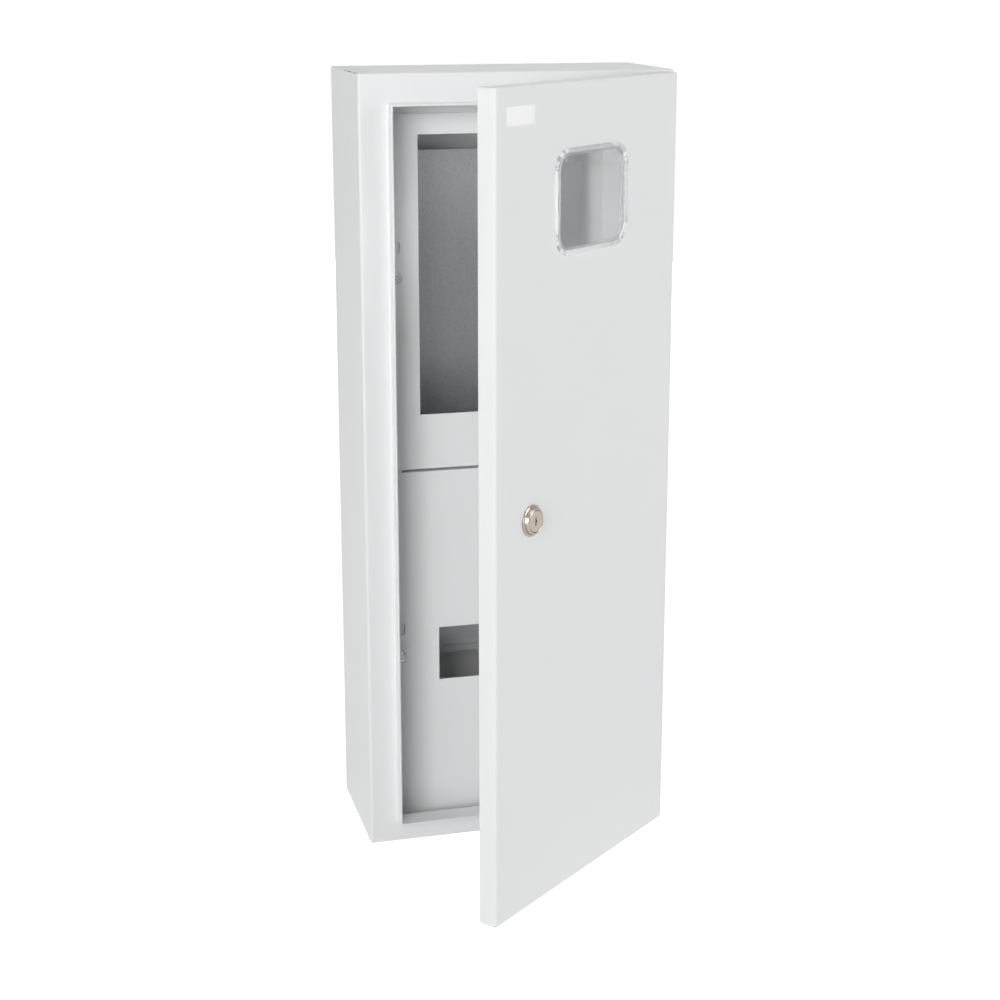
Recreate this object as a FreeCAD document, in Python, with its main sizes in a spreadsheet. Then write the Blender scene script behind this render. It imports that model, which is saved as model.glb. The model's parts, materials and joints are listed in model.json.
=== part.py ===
"""Electric meter box: a folded steel wall cabinet for one meter and a row of seven breaker modules.

Frame: +X to the right seen from the front, +Y towards the wall, +Z up, millimetres. The origin is
the middle of the four wall holes, on the back face. The door is drawn closed and then turned open
about its hinge pins by the size door_open.
"""
import FreeCAD, Part
import math
import os
import re
import Sketcher

SIZES = {
    # Folded shell
    "box_width": 260,
    "box_height": 650,
    "box_depth": 120,  # back face to front face
    "wall": 1.0,  # steel sheet of the shell
    "bend": 2.5,  # outer radius of the upright folds
    "fold": 0.7,  # bevel of the level folds
    "opening_side": 25.7,  # shell side to the opening
    "opening_top_margin": 25.2,  # shell top to the opening
    "opening_bottom_margin": 20.3,
    "lip_height": 12,  # hemmed lip proud of the front face
    "lip_return": 7.5,  # inner leaf behind the front face
    "lip_root": 1.4,  # inside radius where the lip leaves the front face
    "knockout_radius": 10.5,
    "knockout_pitch": 60,
    "knockout_from_back": 39,
    "knockout_groove": 1.4,
    "knockout_depth": 0.65,
    "knockout_tab": 2.4,
    "wall_hole_radius": 3.5,
    "wall_hole_from_side": 50,
    "wall_hole_from_end": 57,
    # Inner panels and what carries them
    "panel_depth": 24,  # front face to the panels' front
    "panel_sheet": 1.0,
    "panel_side_gap": 2.3,  # opening edge to panel edge
    "panel_top_gap": 7.9,
    "panel_tuck": 10,  # lower panel hooks behind the bottom lip by this much
    "panel_joint": -2.85,  # height of the slit between the two panels
    "panel_slit": 2.5,
    "panel_flange": 8,
    "panel_flange_inset": 11,
    "meter_window_side": 24.5,  # panel edge to the meter's window
    "meter_window_top": 16.7,
    "meter_window_low": 46.4,
    "breaker_slot_width": 126,
    "breaker_slot_height": 47.3,
    "rail_from_bottom": 158.6,  # shell bottom to the middle of the breaker rail and its slot
    "bracket_sheet": 1.2,
    "bracket_reach": 35.5,  # side wall to the free edge of the bracket
    "bracket_web": 16,
    "bracket_from_end": 120,  # shell top or bottom to the bracket's end
    "strip_end_gap": 24,  # side wall to the strip's end
    "strip_overlap": 12,  # panel edge laps the strip by this much
    "strip_web": 14,
    "panel_screw_inset": 8.3,  # opening edge to the screws
    "panel_screw_radius": 2,
    "panel_screw_head": 4.5,
    "panel_screw_rise": 2.4,
    "panel_screw_past": 4,  # shank behind the bracket
    "panel_slot_rise": 24.7,
    "panel_slot_radius": 3,
    "panel_slot_length": 11,
    "screw_clearance": 0.05,
    # Meter plate
    "plate_past_side": 7.25,  # window edge to plate edge
    "plate_below_top": 19.8,  # window top down to plate top
    "plate_past_low": 84.8,  # window bottom down to plate bottom
    "plate_sheet": 1.5,
    "plate_standoff": 12.5,
    "plate_corner": 3,
    "plate_screw_inset": 10.5,
    "plate_screw_radius": 2.5,
    "plate_screw_head": 4.75,
    "plate_screw_rise": 3,
    "plate_screw_length": 8,  # shank behind the plate
    "standoff_radius": 5,
    "meter_slot_radius": 2.75,
    "meter_slot_length": 34,
    "meter_slot_from_top": 19.4,
    "meter_slot_from_low": 52,
    "meter_slot_x": 47.5,
    # Breaker rail
    "rail_end_gap": 34,  # side wall to the rail's end
    "rail_behind_panel": 48,
    "rail_height": 35,
    "rail_hat": 27,
    "rail_rise": 7.5,
    "rail_sheet": 1.0,
    "foot_sheet": 1.5,
    "foot_tall": 30,
    "foot_in": 15,  # rail's end to its screw
    "foot_tab": 10,
    "foot_base": 17,
    "rail_screw_radius": 2,
    "rail_screw_head": 4.5,
    "rail_screw_rise": 2.6,
    "rail_screw_length": 8,
    # Neutral and earth bars
    "bar_length": 104,
    "bar_thick": 8,
    "bar_tall": 12,
    "bar_corner": 1.2,
    "bar_ways": 8,
    "bar_pitch": 10,
    "bar_hole": 2.7,
    "bar_screw": 2.3,
    "bar_screw_head": 2.9,
    "bar_screw_rise": 2,
    "bar_screw_length": 2.4,
    "bar_foot_x": 46,
    "neutral_from_bottom": 89,
    "neutral_standoff": 26,
    "neutral_holder": 7,
    "earth_from_bottom": 43,
    "earth_standoff": 14,
    "earth_post": 4.5,
    # Earth studs
    "stud_radius": 3,
    "stud_length": 14,
    "stud_from_side": 25,
    "stud_from_bottom": 43,
    "door_stud_from_side": 57,
    "washer_radius": 6,
    "washer_thick": 1.2,
    "nut_flats": 10,
    "nut_thick": 5,
    # Door
    "door_open": 40,  # degrees, as it stands
    "door_side_gap": 3,  # narrower than the shell on each side
    "door_end_gap": 1.5,
    "door_gap": 1.2,  # shell front to door rim
    "door_depth": 15.2,
    "door_sheet": 1.0,
    "door_notch": 2.5,
    "window_width": 101.5,
    "window_height": 80,
    "window_corner": 17,
    "window_from_top": 88.7,  # door top to the middle of the window
    "window_rim": 3.5,
    "window_proud": 1.8,
    "window_pane": 1.6,
    "window_skirt": 1.5,
    "window_behind": 4.0,
    "window_fit": 0.15,
    "hook_length": 14,
    "hook_bite": 1.3,
    "hook_pitch": 26,
    "gasket_width": 4,
    "gasket_clear": 0.3,
    "label_width": 35,
    "label_height": 13.5,
    "label_inset": 14.4,
    "label_thick": 0.2,
    # Hinges
    "hinge_in_x": 4,  # pin to the door's hinge edge
    "hinge_in_y": 5,  # pin to the door's face
    "pin_radius": 1.5,
    "pin_head": 2.4,
    "pin_play": 0.05,
    "knuckle": 2.6,
    "leaf_sheet": 1.0,
    "leaf_tall": 22,
    "leaf_gap": 0.15,
    "leaf_foot": 9,
    "leaf_inset": 1.7,  # lip to the leaf's web
    "hinge_from_end": 88.5,
    # Cam lock
    "lock_from_side": 47.5,
    "lock_z": -2.5,
    "lock_rose": 12.5,
    "lock_proud": 4.6,
    "lock_body": 9,
    "lock_fit": 0.1,
    "lock_plug_head": 8.25,
    "lock_plug": 6,
    "lock_play": 0.05,
    "lock_nut_flats": 22,
    "lock_nut_thick": 3,
    "axis_drawn": 10,  # length of the drawn turning axis
    "key_tall": 6.6,
    "key_wide": 1.3,
    "key_deep": 3,
    "cam_length": 36,
    "cam_wide": 14,
    "cam_thick": 2,
    "cam_clear": 0.3,
    "cam_square": 8,
    "cam_screw": 2.4,
    "cam_screw_head": 4.5,
}

# Places that follow from the sizes, across and upright
FOLLOWING = {
    "opening_width": "box_width - 2 * opening_side",
    "wall_hole_pitch_x": "box_width - 2 * wall_hole_from_side",
    "wall_hole_pitch_z": "box_height - 2 * wall_hole_from_end",
    "panel_top_z": "box_height / 2 - opening_top_margin - panel_top_gap",
    "panel_screw_x": "opening_width / 2 - panel_screw_inset",
    "meter_window_x": "opening_width / 2 - panel_side_gap - meter_window_side",
    "meter_window_high": "panel_top_z - meter_window_top",
    "meter_window_base": "panel_joint + panel_slit / 2 + meter_window_low",
    "meter_window_z": "(meter_window_high + meter_window_base) / 2",
    "rail_z": "rail_from_bottom - box_height / 2",
    "bracket_top": "box_height / 2 - bracket_from_end",
    "strip_half_width": "box_width / 2 - wall - strip_end_gap",
    "plate_width": "2 * (meter_window_x + plate_past_side)",
    "plate_top": "meter_window_high - plate_below_top",
    "plate_bottom": "meter_window_base - plate_past_low",
    "meter_slot_top": "plate_top - meter_slot_from_top",
    "meter_slot_low": "plate_bottom + meter_slot_from_low",
    "rail_length": "2 * (box_width / 2 - wall - rail_end_gap)",
    "foot_x": "rail_length / 2 - foot_in",
    "neutral_z": "neutral_from_bottom - box_height / 2",
    "earth_z": "earth_from_bottom - box_height / 2",
    "stud_x": "box_width / 2 - wall - stud_from_side",
    "stud_z": "stud_from_bottom - box_height / 2",
    "door_stud_x": "box_width / 2 - door_side_gap - door_stud_from_side",
    "window_z": "box_height / 2 - door_end_gap - window_from_top",
    "hinge_z": "box_height / 2 - door_end_gap - hinge_from_end",
    "lock_x": "lock_from_side - (box_width / 2 - door_side_gap)",
}

doc = FreeCAD.newDocument("meter_box")
sheet = doc.addObject("Spreadsheet::Sheet", "Sizes")
rows = [(alias, str(size)) for alias, size in SIZES.items()]
rows += [(alias, "=" + formula) for alias, formula in FOLLOWING.items()]
for row, (alias, content) in enumerate(rows, 1):
    sheet.set("A%d" % row, alias)
    sheet.set("B%d" % row, content)
    sheet.setAlias("B%d" % row, alias)
doc.recompute()

# Places that follow from the sizes, as Y unless their name says otherwise
FRONT = "-box_depth"
INNER_BACK = "-wall"
LIP_FRONT = "(-box_depth - lip_height)"
LIP_BACK = "(-box_depth + lip_return)"
LIP_THICK = "(2 * wall)"
OPEN_X = "(opening_width / 2)"
OPEN_TOP = "(box_height / 2 - opening_top_margin)"
OPEN_LOW = "(opening_bottom_margin - box_height / 2)"
PANEL_FRONT = "(panel_depth - box_depth)"
PANEL_BACK = "(panel_depth + panel_sheet - box_depth)"
PANEL_X = "(opening_width / 2 - panel_side_gap)"
PANEL_TOP = "panel_top_z"
PANEL_LOW = "(opening_bottom_margin - box_height / 2 - panel_tuck)"
PLATE_BACK = "(-wall - plate_standoff)"
RAIL_FRONT = "(panel_depth - box_depth + rail_behind_panel)"
RAIL_BACK = "(panel_depth - box_depth + rail_behind_panel + rail_rise)"
DOOR_X = "(box_width / 2 - door_side_gap)"
DOOR_Z = "(box_height / 2 - door_end_gap)"
DOOR_RIM = "(-box_depth - door_gap)"
DOOR_FACE = "(-box_depth - door_gap - door_depth)"
DOOR_INSIDE = "(-box_depth - door_gap - door_depth + door_sheet)"
PIN_X = "(box_width / 2 - door_side_gap - hinge_in_x)"
PIN_Y = "(hinge_in_y - box_depth - door_gap - door_depth)"
CAM_FRONT = "(-box_depth + lip_return + cam_clear)"


def cells(text):
    """The same expression with each size read from the sheet."""
    return re.sub(r"\b([a-z]\w+)\b(?!\()", r"Sizes.\1", text)


def value(text):
    return float(sheet.evalExpression(cells(text)))


def bind(thing, prop, text):
    thing.setExpression(prop, cells(text))


def new_body(label):
    made = doc.addObject("PartDesign::Body", label)
    made.Label = label
    made.AllowCompound = True
    return made


def sketch(body, plane, at="0"):
    """A sketch on one of the body's own planes, moved along that plane's normal."""
    made = body.newObject("Sketcher::SketchObject", body.Label + "_sketch")
    base = next(part for part in body.Origin.OriginFeatures if part.Role == plane)
    made.AttachmentSupport = [(base, "")]
    made.MapMode = "FlatFace"
    bind(made, "AttachmentOffset.Base.z", at)
    return made


def front_sketch(body, y):
    """A sketch seen from the front, at the depth y."""
    return sketch(body, "XZ_Plane", "0 - " + y)


def level_sketch(body, z):
    return sketch(body, "XY_Plane", z)


def side_sketch(body, x):
    return sketch(body, "YZ_Plane", x)


def constrain(made, rules):
    """Adds constraints in one go; a rule is its terms and, where a size drives it, that size."""
    ready = [Sketcher.Constraint(*terms) if size is None else Sketcher.Constraint(*terms, value(size))
             for terms, size in rules]
    for number, (_, size) in zip(made.addConstraint(ready), rules):
        if size is not None:
            bind(made, "Constraints[%d]" % number, size)


def plain(*terms):
    return [(terms, None)]


def point(geometry, end, spot):
    return [(("DistanceX", -1, 1, geometry, end), spot[0]), (("DistanceY", -1, 1, geometry, end), spot[1])]


def joined(kind, first, count):
    """Each edge's end meets the next one's start."""
    ends = [(first + number, 2, first + (number + 1) % count, 1) for number in range(count)]
    return [((kind, *terms), None) for terms in ends]


def vector(x, y):
    return FreeCAD.Vector(x, y, 0)


def closed(made, spots):
    """Straight edges through the spots and back to the first; returns the first edge's number."""
    first = made.GeometryCount
    made.addGeometry([Part.LineSegment(start, end) for start, end in zip(spots, spots[1:] + spots[:1])])
    return first


def outline(made, corners):
    """A closed outline of straight edges through the corners."""
    first = closed(made, [vector(value(x), value(y)) for x, y in corners])
    rules = joined("Coincident", first, len(corners))
    for number, corner in enumerate(corners):
        rules += point(first + number, 1, corner)
    constrain(made, rules)


def rectangle(made, left, right, low, high):
    outline(made, [(left, low), (right, low), (right, high), (left, high)])


def disc(made, x, y, radius):
    circle = Part.Circle(vector(value(x), value(y)), FreeCAD.Vector(0, 0, 1), value(radius))
    number = made.addGeometry(circle)
    constrain(made, point(number, 3, (x, y)) + [(("Radius", number), radius)])


def around(x, y, radius, degrees):
    return vector(x + radius * math.cos(math.radians(degrees)), y + radius * math.sin(math.radians(degrees)))


def guide(made, x, y, radius):
    """A construction circle that an outline's corners lie on: its number and what holds it."""
    circle = Part.Circle(vector(value(x), value(y)), FreeCAD.Vector(0, 0, 1), value(radius))
    number = made.addGeometry(circle, True)
    return number, point(number, 3, (x, y)) + [(("Radius", number), radius)]


def facets(made, x, y, radius, count):
    """A regular outline with count corners, for small round things that show little or repeat."""
    circle, rules = guide(made, x, y, radius)
    middle_x, middle_y, reach = value(x), value(y), value(radius)
    first = closed(made, [around(middle_x, middle_y, reach, 360 * (step + 0.5) / count)
                          for step in range(count)])
    rules += joined("Coincident", first, count) + plain("Vertical", first + count - 1)
    for number in range(count):
        rules += plain("PointOnObject", first + number, 1, circle)
    for number in range(1, count):
        rules += plain("Equal", first, first + number)
    constrain(made, rules)


def arc(x, y, radius, start, end):
    circle = Part.Circle(vector(x, y), FreeCAD.Vector(0, 0, 1), radius)
    return Part.ArcOfCircle(circle, math.radians(start), math.radians(end))


def rounded(made, left, right, low, high, radius):
    """A closed rectangle with round corners."""
    x0, x1, y0, y1, r = [value(text) for text in (left, right, low, high, radius)]
    first = made.GeometryCount
    made.addGeometry(Part.LineSegment(vector(x0 + r, y0), vector(x1 - r, y0)))
    made.addGeometry(arc(x1 - r, y0 + r, r, 270, 360))
    made.addGeometry(Part.LineSegment(vector(x1, y0 + r), vector(x1, y1 - r)))
    made.addGeometry(arc(x1 - r, y1 - r, r, 0, 90))
    made.addGeometry(Part.LineSegment(vector(x1 - r, y1), vector(x0 + r, y1)))
    made.addGeometry(arc(x0 + r, y1 - r, r, 90, 180))
    made.addGeometry(Part.LineSegment(vector(x0, y1 - r), vector(x0, y0 + r)))
    made.addGeometry(arc(x0 + r, y0 + r, r, 180, 270))
    rules = joined("Tangent", first, 8)
    for number in (0, 4):
        rules += plain("Horizontal", first + number) + plain("Vertical", first + number + 2)
    for number in (3, 5, 7):
        rules += plain("Equal", first + 1, first + number)
    rules += [(("Radius", first + 1), radius), (("DistanceY", -1, 1, first, 1), low)]
    rules += [(("DistanceX", -1, 1, first + 2, 1), right), (("DistanceY", -1, 1, first + 4, 1), high)]
    rules += [(("DistanceX", -1, 1, first + 6, 1), left)]
    constrain(made, rules)


def upright_slot(made, x, low, high, radius):
    """A slot with round ends; low and high are the centres of the ends."""
    cx, y0, y1, r = [value(text) for text in (x, low, high, radius)]
    first = made.GeometryCount
    made.addGeometry(Part.LineSegment(vector(cx + r, y0), vector(cx + r, y1)))
    made.addGeometry(arc(cx, y1, r, 0, 180))
    made.addGeometry(Part.LineSegment(vector(cx - r, y1), vector(cx - r, y0)))
    made.addGeometry(arc(cx, y0, r, 180, 360))
    rules = joined("Tangent", first, 4) + plain("Equal", first + 1, first + 3)
    rules += [(("Radius", first + 1), radius)]
    constrain(made, rules + point(first + 1, 3, (x, high)) + point(first + 3, 3, (x, low)))


def half_ring(made, x, y, outer, inner, tab, side):
    """One half of a round groove, in five straight steps and ended short of the tabs; side is 1 or -1."""
    steps = 5
    circles, rules, spots = [], [], []
    middle_x, middle_y = value(x), value(y)
    for radius, order in ((outer, -1), (inner, 1)):
        circle, held = guide(made, x, y, radius)
        circles.append(circle)
        rules += held
        reach = value(radius)
        lift = math.degrees(math.acos(value(tab) / 2 / reach))
        for step in range(steps + 1):
            turn = order * lift * (2 * step / steps - 1)
            spots.append(around(middle_x, middle_y, reach, turn if side > 0 else 180 - turn))
    first = closed(made, spots)
    rules += joined("Coincident", first, len(spots))
    rules += plain("Vertical", first + steps) + plain("Vertical", first + 2 * steps + 1)
    for leaf, circle in enumerate(circles):
        start = first + leaf * (steps + 1)
        for step in range(steps + 1):
            rules += plain("PointOnObject", start + step, 1, circle)
        for step in range(1, steps):
            rules += plain("Equal", start, start + step)
    for edge in (first, first + steps):
        rules.append((("DistanceX", -1, 1, edge, 1), "%s + %d * %s / 2" % (x, side, tab)))
    constrain(made, rules)


def add(body, made, length):
    """Pads a sketch along its plane's normal: forwards, upwards or to the right."""
    feature = body.newObject("PartDesign::Pad", body.Label + "_pad")
    feature.Profile = made
    bind(feature, "Length", length)
    doc.recompute()
    return feature


def cut(body, made, length, along=False):
    """Cuts a sketch's outline away against its plane's normal, or along it."""
    before = body.Shape.Volume
    feature = body.newObject("PartDesign::Pocket", body.Label + "_cut")
    feature.Profile = made
    feature.Reversed = along
    bind(feature, "Length", length)
    doc.recompute()
    if not body.Shape.Volume < before:
        raise RuntimeError(body.Label + ": a cut took nothing away")
    return feature


def turn(body, made):
    """Revolves a sketch about its construction line."""
    feature = body.newObject("PartDesign::Revolution", body.Label + "_turn")
    feature.Profile = made
    feature.ReferenceAxis = (made, ["Axis0"])
    feature.Angle = 360
    doc.recompute()
    return feature


def edges(body, **places):
    """Names of the edges that lie whole at the given coordinates, each one of the listed ones."""
    found = []
    for number, edge in enumerate(body.Shape.Edges, 1):
        box = edge.BoundBox
        spans = {"x": (box.XMin, box.XMax), "y": (box.YMin, box.YMax), "z": (box.ZMin, box.ZMax)}
        fits = True
        for axis, texts in places.items():
            low, high = spans[axis]
            near = [abs(low - value(text)) < 0.01 and abs(high - value(text)) < 0.01 for text in texts]
            fits = fits and any(near)
        if fits:
            found.append("Edge%d" % number)
    if not found:
        raise RuntimeError(body.Label + ": no edge there")
    return found


def soften(body, names, radius, kind="Fillet"):
    feature = body.newObject("PartDesign::" + kind, body.Label + "_" + kind.lower())
    feature.Base = (body.Tip if feature != body.Tip else feature.BaseFeature, names)
    bind(feature, "Radius" if kind == "Fillet" else "Size", radius)
    doc.recompute()
    return feature


def both(text):
    return (text, "-" + text)


parts = []


def keep(body):
    parts.append(body)
    return body


def on_door(body):
    """Swings a body drawn on the closed door to the open door's place."""
    turned_x = "%s * cos(door_open) - %s * sin(door_open)" % (PIN_X, PIN_Y)
    turned_y = "%s * sin(door_open) + %s * cos(door_open)" % (PIN_X, PIN_Y)
    bind(body, "Placement.Base.x", "%s - (%s)" % (PIN_X, turned_x))
    bind(body, "Placement.Base.y", "%s - (%s)" % (PIN_Y, turned_y))
    bind(body, "Placement.Rotation.Angle", "door_open")
    return keep(body)


# Folded shell


def folded_shell():
    """The shell: folded sides, a hemmed lip round the door opening, knock-outs and wall holes."""
    body = new_body("enclosure_body")
    block = front_sketch(body, "0")
    rectangle(block, "-box_width / 2", "box_width / 2", "-box_height / 2", "box_height / 2")
    add(body, block, "box_depth")
    soften(body, edges(body, x=both("box_width / 2"), y=("0", FRONT)), "bend")
    soften(body, edges(body, z=both("box_height / 2"), y=("0", FRONT)), "fold", "Chamfer")
    hollow = front_sketch(body, "(-wall)")
    inner_x = "(box_width / 2 - wall)"
    inner_z = "(box_height / 2 - wall)"
    rectangle(hollow, "-" + inner_x, inner_x, "-" + inner_z, inner_z)
    cut(body, hollow, "box_depth - 2 * wall", along=True)
    inner_corners = edges(body, x=both(inner_x), y=(INNER_BACK, "wall - box_depth"))
    soften(body, inner_corners, "bend - wall")
    opening = front_sketch(body, "(-box_depth)")
    rectangle(opening, "-" + OPEN_X, OPEN_X, OPEN_LOW, OPEN_TOP)
    cut(body, opening, "2 * wall")
    lip(body)
    knock_outs(body, "box_height / 2", along=False)
    knock_outs(body, "-box_height / 2", along=True)
    holes = front_sketch(body, "0")
    for side_x in (-1, 1):
        for side_z in (-1, 1):
            x = "%d * wall_hole_pitch_x / 2" % side_x
            disc(holes, x, "%d * wall_hole_pitch_z / 2" % side_z, "wall_hole_radius")
    cut(body, holes, "2 * wall", along=True)
    return keep(body)


def lip_ring(body, y, thick):
    """Outline of one leaf of the lip, all round the opening."""
    ring = front_sketch(body, y)
    rectangle(ring, "-" + OPEN_X, OPEN_X, OPEN_LOW, OPEN_TOP)
    far_x = "(%s + %s)" % (OPEN_X, thick)
    rectangle(ring, "-" + far_x, far_x, "%s - %s" % (OPEN_LOW, thick), "%s + %s" % (OPEN_TOP, thick))
    return ring


def lip(body):
    """The sheet runs forward, folds back on itself and ends as an inner leaf behind the front."""
    add(body, lip_ring(body, "(-box_depth)", LIP_THICK), "lip_height")
    add(body, lip_ring(body, LIP_BACK, "wall"), "lip_return - wall")
    outer_x = "(%s + %s)" % (OPEN_X, LIP_THICK)
    outer_top = "%s + %s" % (OPEN_TOP, LIP_THICK)
    outer_low = "%s - %s" % (OPEN_LOW, LIP_THICK)
    root = edges(body, y=(FRONT,), x=both(outer_x)) + edges(body, y=(FRONT,), z=(outer_top, outer_low))
    soften(body, root, "lip_root")
    nose = edges(body, y=(LIP_FRONT,))
    soften(body, nose, "0.45 * %s" % LIP_THICK)


def knock_outs(body, z, along):
    """Three round entries, pressed nearly through and held by two tabs each."""
    rings = level_sketch(body, z)
    inner = "(knockout_radius - knockout_groove)"
    for place in (-1, 0, 1):
        x = "(%d * knockout_pitch)" % place
        for side in (-1, 1):
            half_ring(rings, x, "-knockout_from_back", "knockout_radius", inner, "knockout_tab", side)
    cut(body, rings, "knockout_depth", along=along)


# Inner panels


def panel(label, low, high, window, screw_z, flange_at_top):
    """A cover sheet with a window, a flange at the joint, two screw holes and two slots."""
    body = new_body(label)
    face = front_sketch(body, PANEL_BACK)
    rectangle(face, "-" + PANEL_X, PANEL_X, low, high)
    rectangle(face, *window)
    for side in (-1, 1):
        x = "(%d * panel_screw_x)" % side
        facets(face, x, screw_z, "(panel_screw_radius + screw_clearance)", 6)
        slot_z = "(%s + panel_slot_rise)" % screw_z
        half = "(panel_slot_length / 2 - panel_slot_radius)"
        upright_slot(face, x, "%s - %s" % (slot_z, half), "%s + %s" % (slot_z, half), "panel_slot_radius")
    add(body, face, "panel_sheet")
    flange = front_sketch(body, "(%s + panel_flange)" % PANEL_BACK)
    flange_x = "(%s - panel_flange_inset)" % PANEL_X
    if flange_at_top:
        rectangle(flange, "-" + flange_x, flange_x, "%s - panel_sheet" % high, high)
    else:
        rectangle(flange, "-" + flange_x, flange_x, low, "%s + panel_sheet" % low)
    add(body, flange, "panel_flange")
    return keep(body)


def upper_panel():
    low, high = "(panel_joint + panel_slit / 2)", PANEL_TOP
    window = ("-meter_window_x", "meter_window_x", "meter_window_base", "meter_window_high")
    return panel("upper_panel", low, high, window, "meter_window_z", flange_at_top=False)


def lower_panel():
    low, high = PANEL_LOW, "(panel_joint - panel_slit / 2)"
    half_x, half_z = "(breaker_slot_width / 2)", "(breaker_slot_height / 2)"
    window = ("-" + half_x, half_x, "rail_z - " + half_z, "rail_z + " + half_z)
    return panel("lower_panel", low, high, window, "rail_z", flange_at_top=True)


def side_bracket(label, side):
    """An upright angle welded to the side wall; its flange carries the panels' screws."""
    body = new_body(label)
    wall_x = "%d * (box_width / 2 - wall)" % side
    free_x = "%d * (box_width / 2 - wall - bracket_reach)" % side
    web_x = "%d * (box_width / 2 - wall - bracket_sheet)" % side
    behind = "(%s + bracket_sheet)" % PANEL_BACK
    far = "(%s + bracket_web)" % PANEL_BACK
    angle = level_sketch(body, "(-bracket_top)")
    corners = [(wall_x, PANEL_BACK), (free_x, PANEL_BACK), (free_x, behind)]
    corners += [(web_x, behind), (web_x, far), (wall_x, far)]
    outline(angle, corners)
    add(body, angle, "2 * bracket_top")
    holes = front_sketch(body, PANEL_BACK)
    for z in ("rail_z", "meter_window_z"):
        facets(holes, "%d * panel_screw_x" % side, z, "(panel_screw_radius + screw_clearance)", 6)
    cut(body, holes, "2 * bracket_sheet")
    return keep(body)


def support_strip(label, side):
    """A level angle welded under the top, or on the bottom, behind the panel's edge."""
    body = new_body(label)
    wall_z = "%d * (box_height / 2 - wall)" % side
    web_z = "%d * (box_height / 2 - wall - bracket_sheet)" % side
    panel_end = PANEL_TOP if side > 0 else PANEL_LOW
    free_z = "(%s - %d * strip_overlap)" % (panel_end, side)
    behind = "(%s + bracket_sheet)" % PANEL_BACK
    far = "(%s + strip_web)" % PANEL_BACK
    angle = side_sketch(body, "-strip_half_width")
    corners = [(PANEL_BACK, wall_z), (PANEL_BACK, free_z), (behind, free_z)]
    corners += [(behind, web_z), (far, web_z), (far, wall_z)]
    outline(angle, corners)
    add(body, angle, "2 * strip_half_width")
    return keep(body)


def screws(label, spots, face, head, rise, shank, length, driver="cross", corners=12):
    """Pan-head screws that face the front; each spot is an x and a z."""
    body = new_body(label)
    heads = front_sketch(body, face)
    for x, z in spots:
        facets(heads, x, z, head, corners)
    add(body, heads, rise)
    top = "(%s - %s)" % (face, rise)
    rims = edges(body, y=(top,))
    soften(body, rims, "0.45 * " + rise, "Chamfer")
    shanks = front_sketch(body, "(%s + %s)" % (face, length))
    for x, z in spots:
        facets(shanks, x, z, shank, 6)
    add(body, shanks, length)
    recess = front_sketch(body, top)
    for x, z in spots:
        slit = "(0.09 * 2 * %s)" % head
        reach = "(0.55 * %s)" % head
        if driver == "cross":
            cross(recess, x, z, slit, reach)
        else:
            wide = "(0.75 * %s)" % head
            rectangle(recess, "%s - %s" % (x, wide), "%s + %s" % (x, wide),
                      "%s - %s" % (z, slit), "%s + %s" % (z, slit))
    cut(body, recess, "0.55 * " + rise)
    return keep(body)


def cross(made, x, z, half, reach):
    """The outline of a cross recess."""
    turns = ((1, 1), (-1, 1), (-1, -1), (1, -1))
    corners = []
    for sx, sz in turns:
        out_x = ("%s + %d * %s" % (x, sx, reach), "%s + %d * %s" % (z, sz, half))
        middle = ("%s + %d * %s" % (x, sx, half), "%s + %d * %s" % (z, sz, half))
        out_z = ("%s + %d * %s" % (x, sx, half), "%s + %d * %s" % (z, sz, reach))
        corners += [out_x, middle, out_z] if sx * sz > 0 else [out_z, middle, out_x]
    outline(made, corners)


def panel_screws():
    spots = [("(%d * panel_screw_x)" % side, z) for z in ("rail_z", "meter_window_z") for side in (-1, 1)]
    return screws("panel_screws", spots, PANEL_FRONT, "panel_screw_head", "panel_screw_rise",
                  "panel_screw_radius", "(panel_sheet + bracket_sheet + panel_screw_past)")


# Meter plate


def plate_spots():
    x = "(plate_width / 2 - plate_screw_inset)"
    rows = ("(plate_top - plate_screw_inset)", "(plate_bottom + plate_screw_inset)")
    return [(sign + x, z) for z in rows for sign in ("-", "")]


def meter_plate():
    """The zinc-coated plate the meter is screwed to, with a slot above and two below."""
    body = new_body("meter_plate")
    face = front_sketch(body, PLATE_BACK)
    half = "(plate_width / 2)"
    rounded(face, "-" + half, half, "plate_bottom", "plate_top", "plate_corner")
    for x, z in plate_spots():
        facets(face, x, z, "(plate_screw_radius + screw_clearance)", 6)
    upright_slot(face, "0", "meter_slot_top - meter_slot_length", "meter_slot_top - meter_slot_radius",
                 "meter_slot_radius")
    for side in (-1, 1):
        upright_slot(face, "%d * meter_slot_x" % side, "meter_slot_low - meter_slot_length",
                     "meter_slot_low - meter_slot_radius", "meter_slot_radius")
    add(body, face, "plate_sheet")
    return keep(body)


def plate_standoffs():
    body = new_body("plate_standoffs")
    posts = front_sketch(body, INNER_BACK)
    for x, z in plate_spots():
        facets(posts, x, z, "standoff_radius", 12)
    add(body, posts, "plate_standoff")
    bores = front_sketch(body, PLATE_BACK)
    for x, z in plate_spots():
        facets(bores, x, z, "(plate_screw_radius + screw_clearance)", 6)
    cut(body, bores, "plate_standoff - 1")
    return keep(body)


def plate_screws():
    face = "(%s - plate_sheet)" % PLATE_BACK
    return screws("plate_screws", plate_spots(), face, "plate_screw_head", "plate_screw_rise",
                  "plate_screw_radius", "(plate_sheet + plate_screw_length)")


# Breaker rail


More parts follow.
